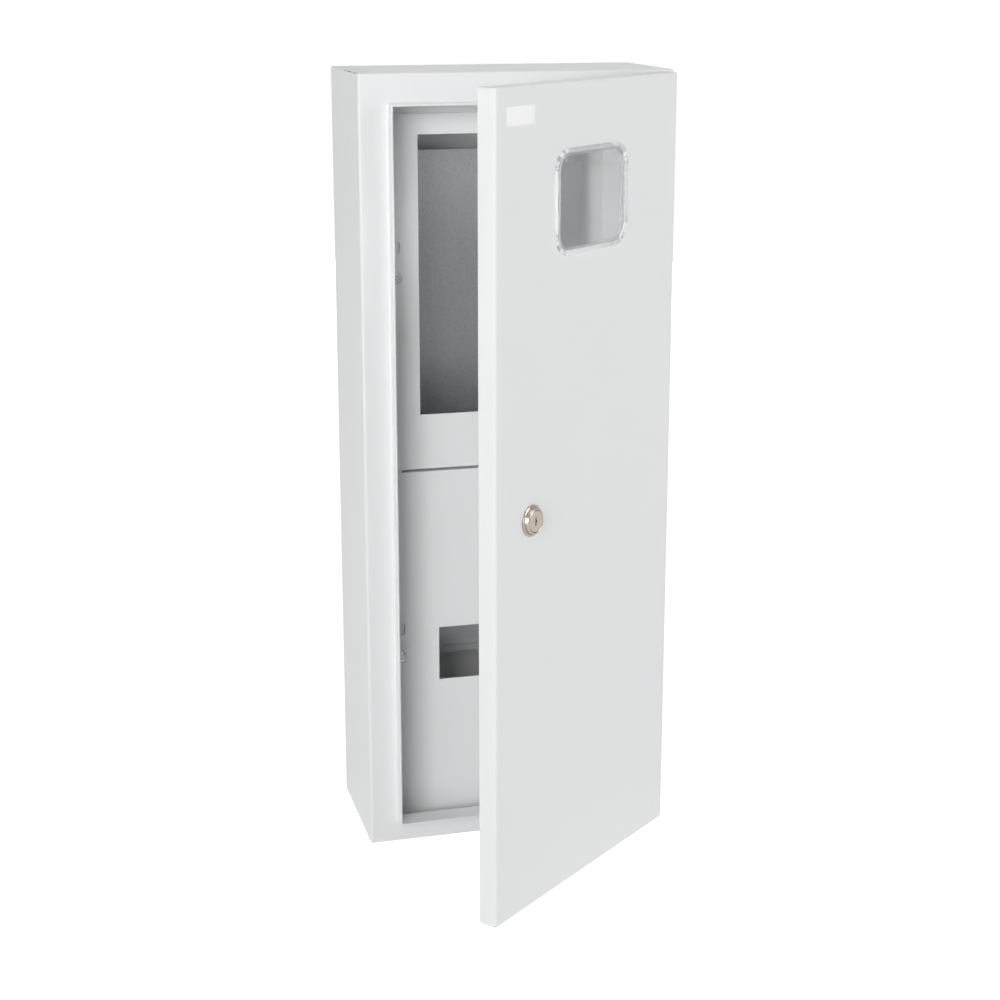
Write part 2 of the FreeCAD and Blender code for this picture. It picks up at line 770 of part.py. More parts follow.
def din_rail():
    """The hat-section rail, with a slot near each end for its screws."""
    body = new_body("din_rail")
    half, hat = "(rail_height / 2)", "(rail_hat / 2)"
    brim_back = "(%s + rail_sheet)" % RAIL_FRONT
    base_front = "(%s - rail_sheet)" % RAIL_BACK
    hat_in = "(%s - rail_sheet)" % hat
    side = [(RAIL_FRONT, half), (RAIL_FRONT, hat_in), (base_front, hat_in)]
    back = [(RAIL_BACK, hat), (brim_back, hat), (brim_back, half)]
    upper = [(y, "rail_z + " + rise) for y, rise in side]
    lower = [(y, "rail_z - " + rise) for y, rise in reversed(side)]
    rear = [(y, "rail_z - " + rise) for y, rise in reversed(back)]
    close = [(y, "rail_z + " + rise) for y, rise in back]
    section = side_sketch(body, "-rail_length / 2")
    outline(section, upper + lower + rear + close)
    add(body, section, "rail_length")
    slots = front_sketch(body, base_front)
    for sign in (-1, 1):
        x = "(%d * foot_x)" % sign
        upright_slot(slots, x, "rail_z - 3", "rail_z + 3", "rail_screw_radius + 1")
    cut(body, slots, "2 * rail_sheet")
    return keep(body)


def rail_foot(label, side):
    """A Z-shaped foot from the back wall to the rail."""
    body = new_body(label)
    tab_in = "%d * (foot_x - foot_tab)" % side
    riser_out = "%d * (foot_x + foot_tab - 1.5)" % side
    riser_in = "%d * (foot_x + foot_tab - 1.5 - foot_sheet)" % side
    base_out = "%d * (foot_x + foot_tab + foot_base)" % side
    top_back = "(%s + foot_sheet)" % RAIL_BACK
    base_front = "(-wall - foot_sheet)"
    profile = level_sketch(body, "rail_z - foot_tall / 2")
    corners = [(base_out, INNER_BACK), (riser_in, INNER_BACK), (riser_in, top_back), (tab_in, top_back)]
    corners += [(tab_in, RAIL_BACK), (riser_out, RAIL_BACK), (riser_out, base_front), (base_out, base_front)]
    outline(profile, corners)
    add(body, profile, "foot_tall")
    hole = front_sketch(body, RAIL_BACK)
    facets(hole, "%d * foot_x" % side, "rail_z", "(rail_screw_radius + screw_clearance)", 6)
    cut(body, hole, "2 * foot_sheet")
    return keep(body)


def rail_screws():
    spots = [("(%d * foot_x)" % side, "rail_z") for side in (-1, 1)]
    face = "(%s - rail_sheet)" % RAIL_BACK
    return screws("rail_screws", spots, face, "rail_screw_head", "rail_screw_rise",
                  "rail_screw_radius", "rail_screw_length")


# Neutral and earth bars


def bar_ways():
    count = round(value("bar_ways"))
    return ["(%s * bar_pitch)" % (place - (count - 1) / 2) for place in range(count)]


def terminal_bar(label, z, standoff):
    """A brass bar with a row of wire holes, each crossed by a screw hole from the front."""
    body = new_body(label)
    back = "(-wall - %s)" % standoff
    face = front_sketch(body, back)
    half, tall = "(bar_length / 2)", "(bar_tall / 2)"
    half_in, tall_in = "(bar_length / 2 - bar_corner)", "(bar_tall / 2 - bar_corner)"
    corners = []
    for sx, sz in ((1, 1), (-1, 1), (-1, -1), (1, -1)):
        flat = ("%d * %s" % (sx, half), "%s + %d * %s" % (z, sz, tall_in))
        upright = ("%d * %s" % (sx, half_in), "%s + %d * %s" % (z, sz, tall))
        corners += [flat, upright] if sx * sz > 0 else [upright, flat]
    outline(face, corners)
    add(body, face, "bar_thick")
    wires = level_sketch(body, "%s + %s" % (z, tall))
    for x in bar_ways():
        facets(wires, x, "%s - bar_thick / 2" % back, "bar_hole", 8)
    cut(body, wires, "bar_tall")
    taps = front_sketch(body, "(%s - bar_thick)" % back)
    for x in bar_ways():
        facets(taps, x, z, "(bar_screw + screw_clearance)", 6)
    cut(body, taps, "bar_thick / 2")
    return keep(body)


def bar_screws(label, z, standoff):
    face = "(-wall - %s - bar_thick)" % standoff
    spots = [(x, z) for x in bar_ways()]
    return screws(label, spots, face, "bar_screw_head", "bar_screw_rise", "bar_screw", "bar_screw_length",
                  driver="slot", corners=8)


def neutral_holders():
    """Two moulded insulators, waisted in the middle, between the back wall and the neutral bar."""
    body = new_body("neutral_holders")
    half, tall = "neutral_holder", "(bar_tall / 2 + 2)"
    profile = level_sketch(body, "neutral_z - " + tall)
    for side in (-1, 1):
        x = "(%d * bar_foot_x)" % side
        levels = [("-wall", 0), ("(-wall - 4)", 0), ("(-wall - 6)", 2)]
        levels += [("(6 - wall - neutral_standoff)", 2), ("(4 - wall - neutral_standoff)", 0)]
        levels += [("(-wall - neutral_standoff)", 0)]
        left = [("%s - %s + %d" % (x, half, inset), y) for y, inset in levels]
        right = [("%s + %s - %d" % (x, half, inset), y) for y, inset in reversed(levels)]
        outline(profile, left + right)
    add(body, profile, "2 * " + tall)
    return keep(body)


def earth_posts():
    body = new_body("earth_bar_posts")
    posts = front_sketch(body, INNER_BACK)
    for side in (-1, 1):
        facets(posts, "(%d * bar_foot_x)" % side, "earth_z", "earth_post", 12)
    add(body, posts, "earth_standoff")
    return keep(body)


def hexagon(made, x, z, flats):
    half, corner = "%s / 2" % flats, "%s / 2 / cos(30)" % flats
    side = "%s / 2 * tan(30)" % flats
    corners = [("%s + %s" % (x, half), "%s + %s" % (z, side)), (x, "%s + %s" % (z, corner))]
    corners += [("%s - %s" % (x, half), "%s %s %s" % (z, sign, side)) for sign in ("+", "-")]
    corners += [(x, "%s - %s" % (z, corner)), ("%s + %s" % (x, half), "%s - %s" % (z, side))]
    outline(made, corners)


def earth_set(prefix, x, z, seat, place):
    """A welded stud with its washer and nut, on a sheet whose inner face is at seat.

    On the shell the stud points to the front; on the door it points back."""
    way = -1 if place is keep else 1
    stud = new_body(prefix + "_stud")
    far = "(%s + %d * stud_length)" % (seat, way)
    rod = front_sketch(stud, seat if way < 0 else far)
    facets(rod, x, z, "stud_radius", 12)
    add(stud, rod, "stud_length")
    soften(stud, edges(stud, y=(far,)), "0.6", "Chamfer")
    place(stud)
    washer = new_body(prefix + "_washer")
    washer_top = "(%s + %d * washer_thick)" % (seat, way)
    ring = front_sketch(washer, seat if way < 0 else washer_top)
    facets(ring, x, z, "washer_radius", 24)
    facets(ring, x, z, "(stud_radius + screw_clearance)", 12)
    add(washer, ring, "washer_thick")
    place(washer)
    nut = new_body(prefix + "_nut")
    nut_top = "(%s + %d * nut_thick)" % (washer_top, way)
    block = front_sketch(nut, washer_top if way < 0 else nut_top)
    hexagon(block, x, z, "nut_flats")
    facets(block, x, z, "(stud_radius + screw_clearance)", 12)
    add(nut, block, "nut_thick")
    place(nut)


# Hinges


def shell_leaf(label, z):
    """Folded leaf on the shell: a foot on the front face, a web and an arm ending in the lower eye."""
    body = new_body(label)
    web = "(%s + %s + leaf_inset)" % (OPEN_X, LIP_THICK)
    web_in = "(%s + leaf_sheet)" % web
    foot_front = "(-box_depth - leaf_sheet)"
    arm_low, arm_high = "(%s - knuckle)" % PIN_Y, "(%s - knuckle + leaf_sheet)" % PIN_Y
    foot_end = "(%s + leaf_foot)" % web
    profile = level_sketch(body, "%s - leaf_gap - leaf_tall" % z)
    corners = [(web, FRONT), (web, arm_low), (PIN_X, arm_low), (PIN_X, arm_high)]
    corners += [(web_in, arm_high), (web_in, foot_front), (foot_end, foot_front), (foot_end, FRONT)]
    outline(profile, corners)
    add(body, profile, "leaf_tall")
    eye(body, z, "%s - leaf_gap - leaf_tall" % z, "screw_clearance / 2")
    return keep(body)


def door_leaf(label, z):
    """Folded leaf on the door: a foot on the inside of the face and the upper eye."""
    body = new_body(label)
    start = "(%s + %s + leaf_inset + 0.3)" % (OPEN_X, LIP_THICK)
    arm_low, arm_high = "(%s - knuckle)" % PIN_Y, "(%s - knuckle + leaf_sheet)" % PIN_Y
    foot_back = "(%s + leaf_sheet)" % DOOR_INSIDE
    step = "(%s - 7)" % PIN_X
    profile = level_sketch(body, "%s + leaf_gap" % z)
    corners = [(start, DOOR_INSIDE), (step, DOOR_INSIDE), (step + " + 1.4", arm_low), (PIN_X, arm_low)]
    corners += [(PIN_X, arm_high), (step + " + 0.8", arm_high), (step + " - 0.6", foot_back)]
    corners += [(start, foot_back)]
    outline(profile, corners)
    add(body, profile, "leaf_tall")
    eye(body, z, "%s + leaf_gap" % z, "pin_play")
    return on_door(body)


def eye(body, z, bottom, play):
    """The rolled eye of a leaf, bored for the pin."""
    roll = level_sketch(body, bottom)
    disc(roll, PIN_X, PIN_Y, "knuckle")
    add(body, roll, "leaf_tall")
    bore = level_sketch(body, "%s + leaf_tall" % bottom)
    disc(bore, PIN_X, PIN_Y, "pin_radius + " + play)
    cut(body, bore, "leaf_tall")


def hinge_pin(label, z):
    """The pin, held by the shell's leaf, with a head below it."""
    body = new_body(label)
    low = "(%s - leaf_gap - leaf_tall)" % z
    head = level_sketch(body, low + " - 1.2")
    facets(head, PIN_X, PIN_Y, "pin_head", 16)
    add(body, head, "1.2")
    rod = level_sketch(body, low)
    disc(rod, PIN_X, PIN_Y, "pin_radius")
    add(body, rod, "2 * leaf_tall + 2 * leaf_gap + 1")
    return keep(body)


# Door


def door_pan():
    """The folded door: a face with flanges all round, a rounded window and a lock hole."""
    body = new_body("door_pan")
    block = front_sketch(body, DOOR_RIM)
    rectangle(block, "-" + DOOR_X, DOOR_X, "-" + DOOR_Z, DOOR_Z)
    add(body, block, "door_depth")
    soften(body, edges(body, x=both(DOOR_X), y=(DOOR_FACE,)), "bend")
    soften(body, edges(body, z=both(DOOR_Z), y=(DOOR_FACE,)), "fold", "Chamfer")
    hollow = front_sketch(body, DOOR_RIM)
    in_x, in_z = "(%s - door_sheet)" % DOOR_X, "(%s - door_sheet)" % DOOR_Z
    rectangle(hollow, "-" + in_x, in_x, "-" + in_z, in_z)
    cut(body, hollow, "door_depth - door_sheet", along=True)
    soften(body, edges(body, x=both(in_x), y=(DOOR_INSIDE,)), "bend - door_sheet")
    holes = front_sketch(body, DOOR_FACE)
    half_x, half_z = "(window_width / 2 - window_rim)", "(window_height / 2 - window_rim)"
    rounded(holes, "-" + half_x, half_x, "window_z - " + half_z, "window_z + " + half_z,
            "window_corner - window_rim")
    disc(holes, "lock_x", "lock_z", "lock_body + lock_fit")
    cut(body, holes, "2 * door_sheet")
    for side in (-1, 1):
        notch = side_sketch(body, "%d * %s" % (side, DOOR_X))
        for end in (-1, 1):
            tip = "%d * %s" % (end, DOOR_Z)
            outline(notch, [(DOOR_RIM, tip), (DOOR_RIM, "%s - %d * door_notch" % (tip, end)),
                            (DOOR_RIM + " - door_notch", tip)])
        cut(body, notch, "door_sheet", along=side < 0)
    return on_door(body)


def window_pane():
    """The moulded clear pane: a rim proud of the face, a skirt through the hole and snap hooks."""
    body = new_body("window_pane")
    half_x, half_z = "(window_width / 2)", "(window_height / 2)"
    rim = front_sketch(body, DOOR_FACE)
    rounded(rim, "-" + half_x, half_x, "window_z - " + half_z, "window_z + " + half_z, "window_corner")
    add(body, rim, "window_proud")
    rim_front = "(%s - window_proud)" % DOOR_FACE
    soften(body, edges(body, y=(rim_front,)), "0.5 * window_proud", "Chamfer")
    skirt_x = "(window_width / 2 - window_rim - window_fit)"
    skirt_z = "(window_height / 2 - window_rim - window_fit)"
    corner = "(window_corner - window_rim - window_fit)"
    skirt = front_sketch(body, "(%s + window_behind)" % DOOR_FACE)
    rounded(skirt, "-" + skirt_x, skirt_x, "window_z - " + skirt_z, "window_z + " + skirt_z, corner)
    add(body, skirt, "window_behind")
    well = front_sketch(body, "(%s + window_behind)" % DOOR_FACE)
    in_x, in_z = "(%s - window_skirt)" % skirt_x, "(%s - window_skirt)" % skirt_z
    rounded(well, "-" + in_x, in_x, "window_z - " + in_z, "window_z + " + in_z, "%s - window_skirt" % corner)
    cut(body, well, "window_behind + window_proud - window_pane - 0.6", along=True)
    dish = front_sketch(body, rim_front)
    rounded(dish, "-" + in_x, in_x, "window_z - " + in_z, "window_z + " + in_z, "%s - window_skirt" % corner)
    cut(body, dish, "0.6")
    for side in (-1, 1):
        for end in (-1, 1):
            hook = level_sketch(body, "window_z + %d * hook_pitch / 2 - hook_length / 2" % end)
            base = "%d * %s" % (side, skirt_x)
            tip = "%d * (%s + hook_bite)" % (side, skirt_x)
            outline(hook, [(base, DOOR_INSIDE + " + 0.1"), (tip, DOOR_INSIDE + " + 0.1"),
                           (tip, DOOR_INSIDE + " + 0.9"), (base, "%s + window_behind" % DOOR_FACE)])
            add(body, hook, "hook_length")
    return on_door(body)


def door_gasket():
    """Foamed strip inside the door, over the lip's edge."""
    body = new_body("door_gasket")
    back = "(%s - gasket_clear)" % LIP_FRONT
    ring = front_sketch(body, back)
    for sign in ("-", "+"):
        grow = "%s gasket_width / 2" % sign
        x = "(%s + %s / 2 %s)" % (OPEN_X, LIP_THICK, grow)
        top = "%s + %s / 2 %s" % (OPEN_TOP, LIP_THICK, grow)
        low = "%s - (%s / 2 %s)" % (OPEN_LOW, LIP_THICK, grow)
        rectangle(ring, "-" + x, x, low, top)
    add(body, ring, "%s - (%s)" % (back, DOOR_INSIDE))
    return on_door(body)


def door_label():
    body = new_body("door_label")
    sticker = front_sketch(body, DOOR_FACE)
    left, top = "(label_inset - %s)" % DOOR_X, "(%s - label_inset)" % DOOR_Z
    rounded(sticker, left, left + " + label_width", top + " - label_height", top, "1.5")
    add(body, sticker, "label_thick")
    return on_door(body)


# Cam lock


def round_about(made, spots):
    """A turned profile: spots are radius and Y, about the lock's axis, which is drawn first."""
    axis = Part.LineSegment(vector(value("lock_x"), 0), vector(value("lock_x"), -value("axis_drawn")))
    number = made.addGeometry(axis, True)
    constrain(made, point(number, 1, ("lock_x", "0")) + point(number, 2, ("lock_x", "-axis_drawn")))
    outline(made, [("lock_x + " + radius, y) for radius, y in spots])


def lock_housing():
    """Turned housing: a domed rose on the face and a barrel through the door."""
    body = new_body("lock_housing")
    rear = "(%s - 1.2)" % CAM_FRONT
    head_bore, bore = "(lock_plug_head + lock_play)", "(lock_plug + lock_play)"
    shelf = "(%s - 0.6)" % DOOR_FACE
    profile = level_sketch(body, "lock_z")
    spots = [(bore, rear), ("(lock_body)", rear), ("(lock_body)", DOOR_FACE), ("lock_rose", DOOR_FACE)]
    spots += [("lock_rose", "(%s - 1.2)" % DOOR_FACE)]
    spots += [("(lock_plug_head + 1.4)", "(%s - 0.88 * lock_proud)" % DOOR_FACE)]
    spots += [(head_bore, "(%s - lock_proud)" % DOOR_FACE), (head_bore, shelf), (bore, shelf)]
    round_about(profile, spots)
    turn(body, profile)
    return on_door(body)


def lock_nut():
    body = new_body("lock_nut")
    block = front_sketch(body, "(%s + lock_nut_thick)" % DOOR_INSIDE)
    hexagon(block, "lock_x", "lock_z", "lock_nut_flats")
    disc(block, "lock_x", "lock_z", "lock_body + screw_clearance")
    add(body, block, "lock_nut_thick")
    return on_door(body)


def lock_plug():
    """The turned plug with its keyhole, and the square tang that turns the cam."""
    body = new_body("lock_plug")
    face = "(%s - lock_proud + 0.4)" % DOOR_FACE
    shelf = "(%s - 0.6 - lock_play)" % DOOR_FACE
    profile = level_sketch(body, "lock_z")
    tap = "(cam_screw + screw_clearance)"
    tail = "(%s - 0.2)" % CAM_FRONT
    floor = "(%s - 8)" % CAM_FRONT
    spots = [("0", face), ("lock_plug_head", face), ("lock_plug_head", shelf), ("lock_plug", shelf)]
    spots += [("lock_plug", tail), (tap, tail), (tap, floor), ("0", floor)]
    round_about(profile, spots)
    turn(body, profile)
    tang = front_sketch(body, "(%s + cam_thick)" % CAM_FRONT)
    half = "(cam_square / 2)"
    rectangle(tang, "lock_x - " + half, "lock_x + " + half, "lock_z - " + half, "lock_z + " + half)
    disc(tang, "lock_x", "lock_z", tap)
    add(body, tang, "cam_thick + 0.2")
    key = front_sketch(body, face)
    wide, tall = "(key_wide / 2)", "(key_tall / 2)"
    step = "(key_wide / 2 + 1.1)"
    corners = [("lock_x - " + wide, "lock_z - " + tall), ("lock_x + " + wide, "lock_z - " + tall)]
    corners += [("lock_x + " + wide, "lock_z - 0.6"), ("lock_x + " + step, "lock_z - 0.6")]
    corners += [("lock_x + " + step, "lock_z + 0.5"), ("lock_x + " + wide, "lock_z + 0.5")]
    corners += [("lock_x + " + wide, "lock_z + " + tall), ("lock_x - " + wide, "lock_z + " + tall)]
    outline(key, corners)
    cut(body, key, "key_deep")
    return on_door(body)


def lock_cam():
    """The flat lever, hanging down while unlocked."""
    body = new_body("lock_cam")
    blade = front_sketch(body, "(%s + cam_thick)" % CAM_FRONT)
    low = "lock_z - cam_length + cam_wide / 2"
    upright_slot(blade, "lock_x", low, "lock_z", "cam_wide / 2")
    half = "(cam_square / 2 + screw_clearance)"
    rectangle(blade, "lock_x - " + half, "lock_x + " + half, "lock_z - " + half, "lock_z + " + half)
    add(body, blade, "cam_thick")
    return on_door(body)


def cam_screw():
    """The screw behind the cam, driven from inside the door."""
    body = new_body("cam_screw")
    seat = "(%s + cam_thick)" % CAM_FRONT
    head = front_sketch(body, "(%s + 2.4)" % seat)
    facets(head, "lock_x", "lock_z", "cam_screw_head", 16)
    add(body, head, "2.4")
    soften(body, edges(body, y=("%s + 2.4" % seat,)), "0.8", "Chamfer")
    shank = front_sketch(body, seat)
    facets(shank, "lock_x", "lock_z", "cam_screw", 8)
    add(body, shank, "8")
    slit = front_sketch(body, "(%s + 2.4)" % seat)
    rectangle(slit, "lock_x - 0.75 * cam_screw_head", "lock_x + 0.75 * cam_screw_head",
              "lock_z - 0.5", "lock_z + 0.5")
    cut(body, slit, "1.2", along=True)
    return on_door(body)


# Assembly

folded_shell()
upper_panel()
lower_panel()
side_bracket("left_side_bracket", -1)
side_bracket("right_side_bracket", 1)
support_strip("top_support_strip", 1)
support_strip("bottom_support_strip", -1)
panel_screws()
meter_plate()
plate_standoffs()
plate_screws()
din_rail()
rail_foot("left_rail_foot", -1)
rail_foot("right_rail_foot", 1)
rail_screws()
terminal_bar("neutral_bar", "neutral_z", "neutral_standoff")
bar_screws("neutral_bar_screws", "neutral_z", "neutral_standoff")
neutral_holders()
terminal_bar("earth_bar", "earth_z", "earth_standoff")
bar_screws("earth_bar_screws", "earth_z", "earth_standoff")
earth_posts()
earth_set("shell_earth", "stud_x", "stud_z", INNER_BACK, keep)
for name, height in (("upper", "hinge_z"), ("lower", "(-hinge_z)")):
    shell_leaf(name + "_shell_leaf", height)
    door_leaf(name + "_door_leaf", height)
    hinge_pin(name + "_hinge_pin", height)
door_pan()
window_pane()
door_gasket()
door_label()
earth_set("door_earth", "door_stud_x", "stud_z", DOOR_INSIDE, on_door)
lock_housing()
lock_nut()
lock_plug()
lock_cam()
cam_screw()

doc.recompute()
for thing in doc.Objects:
    if "Invalid" in thing.State or "Error" in thing.State:
        raise RuntimeError("%s did not build: %s" % (thing.Name, thing.State))
for body in parts:
    if body.Shape.isNull() or not body.Shape.isValid():
        raise RuntimeError(body.Label + " has no valid shape")

os.makedirs("parts", exist_ok=True)
for body in parts:
    body.Shape.exportStep(os.path.join("parts", body.Label + ".step"))
print(len(parts), "sub-parts written")
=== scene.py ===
import json
import math
import random

import bpy
from mathutils import Matrix, Vector


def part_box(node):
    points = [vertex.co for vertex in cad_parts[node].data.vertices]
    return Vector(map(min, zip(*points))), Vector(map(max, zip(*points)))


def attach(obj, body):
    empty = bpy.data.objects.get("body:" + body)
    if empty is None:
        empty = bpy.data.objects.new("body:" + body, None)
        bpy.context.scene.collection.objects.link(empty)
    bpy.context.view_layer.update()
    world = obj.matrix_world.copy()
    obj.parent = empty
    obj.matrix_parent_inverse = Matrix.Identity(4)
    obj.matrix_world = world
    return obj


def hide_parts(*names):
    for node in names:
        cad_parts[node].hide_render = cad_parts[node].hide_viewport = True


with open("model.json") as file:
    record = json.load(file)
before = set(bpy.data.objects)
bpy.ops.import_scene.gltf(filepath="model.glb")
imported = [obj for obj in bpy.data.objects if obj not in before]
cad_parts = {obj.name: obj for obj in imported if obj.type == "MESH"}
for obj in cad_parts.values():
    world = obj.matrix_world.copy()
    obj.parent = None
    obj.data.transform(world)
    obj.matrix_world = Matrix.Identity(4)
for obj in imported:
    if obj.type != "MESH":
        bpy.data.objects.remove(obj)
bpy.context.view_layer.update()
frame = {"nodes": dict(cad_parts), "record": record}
nodes = frame["nodes"]
MM = 0.001

# Places on the closed door, in millimetres, as the solids have them
HINGE = Vector((123.0, -131.4, 0.0))
DOOR_OPEN = math.radians(40)
PANE_Z = 234.8
PANE_HALF_X = 45.7
PANE_HALF_Z = 34.9
CORNER_RELIEF = (-126.2, -135.9, -322.9)
LOCK_AXIS = (-79.5, -2.5)
SEAL_HALF_X = 105.3
SEAL_BACK = -135.2
SEAL_WIDTH = 4.0
SEAL_RISE = 2.75
SEAL_CORNER = 2.2
SEAL_SPACING = 9

# Places on the shell's top, in metres
TOP = 0.325
SEAM_MIDDLE = (-0.1295, -0.091, TOP)
SEAM_HALF = (0.0005, 0.0285, 0.0006)
KNOCKOUTS_X = (-0.06, 0.0, 0.06)
KNOCKOUTS_Y = -0.039
KNOCKOUT_RADIUS = 0.0098
KNOCKOUT_GLINT_HALF = 0.0009


def on_door(x, y, z):
    """A point of the closed door, in millimetres, moved to the open door, in metres."""
    turned = Matrix.Rotation(DOOR_OPEN, 3, "Z") @ (Vector((x, y, z)) - HINGE) + HINGE
    return turned * MM


def to_closed(point):
    """The inverse: a point in metres, moved to the closed door, in millimetres."""
    return Matrix.Rotation(-DOOR_OPEN, 3, "Z") @ (point / MM - HINGE) + HINGE


# Materials


class Surface:
    """A procedural material with one Principled shader and a few helpers for its nodes."""

    def __init__(self, name, **sockets):
        self.material = bpy.data.materials.new(name)
        self.material.use_nodes = True
        self.tree = self.material.node_tree
        self.shader = self.tree.nodes["Principled BSDF"]
        self.output = self.tree.nodes["Material Output"]
        for socket, value in sockets.items():
            self.shader.inputs[socket.replace("_", " ")].default_value = value
        self.place = self.tree.nodes.new("ShaderNodeTexCoord").outputs["Object"]

    def link(self, source, target):
        self.tree.links.new(source, target)
        return source

    def stretched(self, scale):
        mapping = self.tree.nodes.new("ShaderNodeMapping")
        mapping.inputs["Scale"].default_value = scale
        self.link(self.place, mapping.inputs["Vector"])
        return mapping.outputs["Vector"]

    def noise(self, per_metre, detail=3.0, stretch=(1, 1, 1), rough=0.55):
        node = self.tree.nodes.new("ShaderNodeTexNoise")
        node.inputs["Scale"].default_value = per_metre
        node.inputs["Detail"].default_value = detail
        node.inputs["Roughness"].default_value = rough
        self.link(self.stretched(stretch), node.inputs["Vector"])
        return node.outputs["Fac"]

    def cells(self, per_metre):
        node = self.tree.nodes.new("ShaderNodeTexVoronoi")
        node.inputs["Scale"].default_value = per_metre
        self.link(self.stretched((1, 1, 1)), node.inputs["Vector"])
        return node.outputs["Distance"]

    def ranged(self, source, low, high, start=0.3, end=0.7):
        node = self.tree.nodes.new("ShaderNodeMapRange")
        for socket, value in (("From Min", start), ("From Max", end), ("To Min", low), ("To Max", high)):
            node.inputs[socket].default_value = value
        self.link(source, node.inputs["Value"])
        return node.outputs["Result"]

    def mixer(self, factor):
        """A colour Mix node: its two colour inputs and its result."""
        node = self.tree.nodes.new("ShaderNodeMix")
        node.data_type = "RGBA"
        self.link(factor, node.inputs["Factor"])
        first, second = [socket for socket in node.inputs if socket.type == "RGBA"]
        return first, second, [socket for socket in node.outputs if socket.type == "RGBA"][0]

    def colour(self, source, low, high):
        first, second, result = self.mixer(source)
        first.default_value = (*low, 1)
        second.default_value = (*high, 1)
        self.link(result, self.shader.inputs["Base Color"])

    def maths(self, operation, *terms):
        """A Math node; each term is a number or another node's output."""
        node = self.tree.nodes.new("ShaderNodeMath")
        node.operation = operation
        for socket, term in zip(node.inputs, terms):
            if isinstance(term, (int, float)):
                socket.default_value = term
            else:
                self.link(term, socket)
        return node.outputs[0]

    def axes(self):
        """X, Y and Z of the object's own space."""
        split = self.tree.nodes.new("ShaderNodeSeparateXYZ")
        self.link(self.place, split.inputs[0])
        return split.outputs

    def block(self, middle, half, ragged=None):
        """1 inside a small box of the object's own space, 0 elsewhere; ragged wavers its X."""
        inside = 1.0
        for axis, spot in enumerate(self.axes()):
            if axis == 0 and ragged is not None:
                spot = self.maths("ADD", spot, ragged)
            near = self.maths("COMPARE", spot, middle[axis], half[axis])
            inside = self.maths("MULTIPLY", near, inside)
        return inside

    def ring(self, middle, radius, half):
        """1 on a level ring round a point of the object's own space, 0 elsewhere."""
        axes = self.axes()
        squares = [self.maths("POWER", self.maths("SUBTRACT", axes[axis], middle[axis]), 2.0)
                   for axis in (0, 1)]
        far = self.maths("SQRT", self.maths("ADD", *squares))
        level = self.maths("COMPARE", axes[2], middle[2], MM)
        return self.maths("MULTIPLY", self.maths("COMPARE", far, radius, half), level)

    def mark_or_painted_light(self, mask, tint):
        """Mixes another base colour in where the mask is 1: a dark joint, or painted light and shade."""
        base = self.shader.inputs["Base Color"]
        before = base.links[0].from_socket
        first, second, result = self.mixer(mask)
        second.default_value = (*tint, 1)
        self.link(before, first)
        self.link(result, base)

    def roughness(self, source, low, high):
        self.link(self.ranged(source, low, high), self.shader.inputs["Roughness"])

    def bump(self, source, depth, strength=1.0, rounded=0.0):
        """Bump of a real depth in metres; rounded softens the sheet's edges by that radius."""
        node = self.tree.nodes.new("ShaderNodeBump")
        node.inputs["Distance"].default_value = depth
        node.inputs["Strength"].default_value = strength
        self.link(source, node.inputs["Height"])
        if rounded:
            bevel = self.tree.nodes.new("ShaderNodeBevel")
            bevel.samples = 6
            bevel.inputs["Radius"].default_value = rounded
            self.link(bevel.outputs["Normal"], node.inputs["Normal"])
        self.link(node.outputs["Normal"], self.shader.inputs["Normal"])

    def clear_shadow(self):
        """Lets the lamps shine through a clear material."""
        new = self.tree.nodes.new
        path = new("ShaderNodeLightPath")
        through = new("ShaderNodeBsdfTransparent")
        through.inputs["Color"].default_value = (0.92, 0.93, 0.93, 1)
        mix = new("ShaderNodeMixShader")
        self.link(path.outputs["Is Shadow Ray"], mix.inputs["Fac"])
        self.link(self.shader.outputs["BSDF"], mix.inputs[1])
        self.link(through.outputs["BSDF"], mix.inputs[2])
        self.link(mix.outputs["Shader"], self.output.inputs["Surface"])


def painted_steel(name="powder_paint", lighter=0.0):
    """Powder coat; lighter is added to both of its tones, which the panels use as painted light."""
    made = Surface(name, Metallic=0.0, Specular_IOR_Level=0.4)
    low, high = (tuple(value + lighter for value in tone)
                 for tone in ((0.835, 0.844, 0.848), (0.855, 0.864, 0.868)))
    made.colour(made.noise(9, 4), low, high)
    made.roughness(made.noise(260, 4), 0.36, 0.46)
    made.bump(made.noise(620, 5), 0.000035, 0.8, rounded=0.0005)
    return made


def shell_paint():
    """The shell's paint, with the open seam on its top left edge and painted highlights: pale rings at
    the knock-outs' grooves.
    """
    made = painted_steel("shell_paint")
    waver = made.maths("MULTIPLY", made.maths("SUBTRACT", made.noise(160, 3), 0.5), 0.0009)
    seam = made.block(SEAM_MIDDLE, SEAM_HALF, waver)
    broken = made.maths("GREATER_THAN", made.noise(420, 2), 0.49)
    made.mark_or_painted_light(made.maths("MULTIPLY", seam, broken), (0.06, 0.06, 0.06))
    # Painted highlight: a pale ring round each knock-out, where the edge of its groove would catch the
    # light.
    for place in KNOCKOUTS_X:
        ring = made.ring((place, KNOCKOUTS_Y, TOP), KNOCKOUT_RADIUS, KNOCKOUT_GLINT_HALF)
        made.mark_or_painted_light(ring, (0.97, 0.97, 0.97))
    return made.material


def door_paint():
    """The door's paint, with painted shade: a small dark spot for the relief recess where three folds
    meet at the lower corner.
    """
    made = painted_steel("door_paint")
    # Painted shade: a dark spot standing in for the shaded relief recess at the corner.
    relief_shade = made.block(on_door(*CORNER_RELIEF), (0.0008, 0.0008, 0.0007))
    made.mark_or_painted_light(relief_shade, (0.12, 0.12, 0.12))
    return made.material


def zinc_steel():
    made = Surface("zinc_coat", Metallic=0.9)
    made.colour(made.noise(760, 3), (0.37, 0.386, 0.396), (0.63, 0.648, 0.658))
    made.roughness(made.noise(420, 5, (1, 1, 0.25)), 0.36, 0.50)
    made.bump(made.noise(1500, 4, (1, 1, 0.2)), 0.00002, 0.6, rounded=0.0003)
    return made.material


